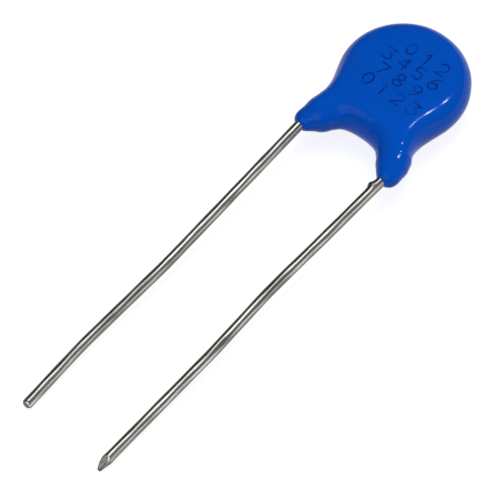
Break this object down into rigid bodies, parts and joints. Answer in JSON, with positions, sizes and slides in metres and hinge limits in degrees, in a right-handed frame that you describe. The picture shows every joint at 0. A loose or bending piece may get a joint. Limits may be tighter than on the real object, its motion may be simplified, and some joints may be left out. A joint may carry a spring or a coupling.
{
  "type": "ceramic disc capacitor",
  "caption": "Radial-leaded ceramic disc capacitor: thick round disc in glossy blue dipped epoxy with a short coated leg down each lead, and long bare tinned wire leads lying side by side.",
  "frame": {"origin": "centre of the coating's flat back face, under the centre of the disc", "axes": "+Z through the disc's thickness, from the back face to the front; +Y from the lead tips towards the disc's free edge; +X across the leads"},
  "size_m": [0.0102, 0.0439, 0.0038],
  "materials": {
    "dielectric_ceramic": "matte",
    "fired_silver": "satin",
    "solder": "satin",
    "tinned_copper": "gloss",
    "blue_epoxy": "gloss"
  },
  "bodies": {
    "root": {"ceramic_disc": "dielectric_ceramic", "front_electrode": "fired_silver", "back_electrode": "fired_silver", "front_solder": "solder", "back_solder": "solder", "left_lead": "tinned_copper", "right_lead": "tinned_copper", "coating": "blue_epoxy"}
  },
  "joints": []
}
